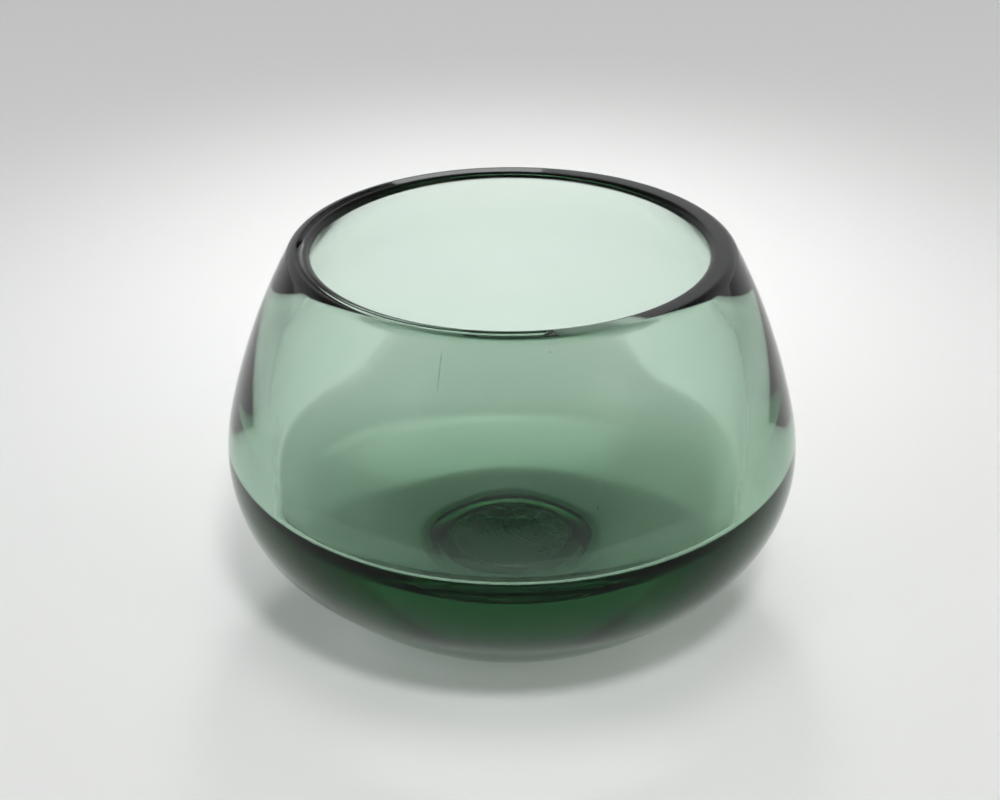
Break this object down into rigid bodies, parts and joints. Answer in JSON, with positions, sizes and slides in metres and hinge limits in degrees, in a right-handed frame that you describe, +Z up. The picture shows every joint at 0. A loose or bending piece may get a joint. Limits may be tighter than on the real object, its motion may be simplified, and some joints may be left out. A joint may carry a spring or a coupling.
{
  "type": "blown glass bowl",
  "caption": "Squat mouth-blown green glass bowl with a rounded lip, thick kicked-up base and a rough pontil scar underneath.",
  "frame": {"origin": "middle of the foot, on the surface that the bowl stands on", "axes": "+Z up along the bowl's axis, out of its mouth; X and Y across the foot"},
  "size_m": [0.12, 0.12, 0.0848],
  "materials": {
    "green_glass": "fire-polished, grey-green, mouth-blown soda-lime glass",
    "broken_green_glass": "rough conchoidal break in the same grey-green glass"
  },
  "bodies": {
    "root": {"blown_bowl": "green_glass", "pontil_scar": "broken_green_glass"}
  },
  "joints": []
}
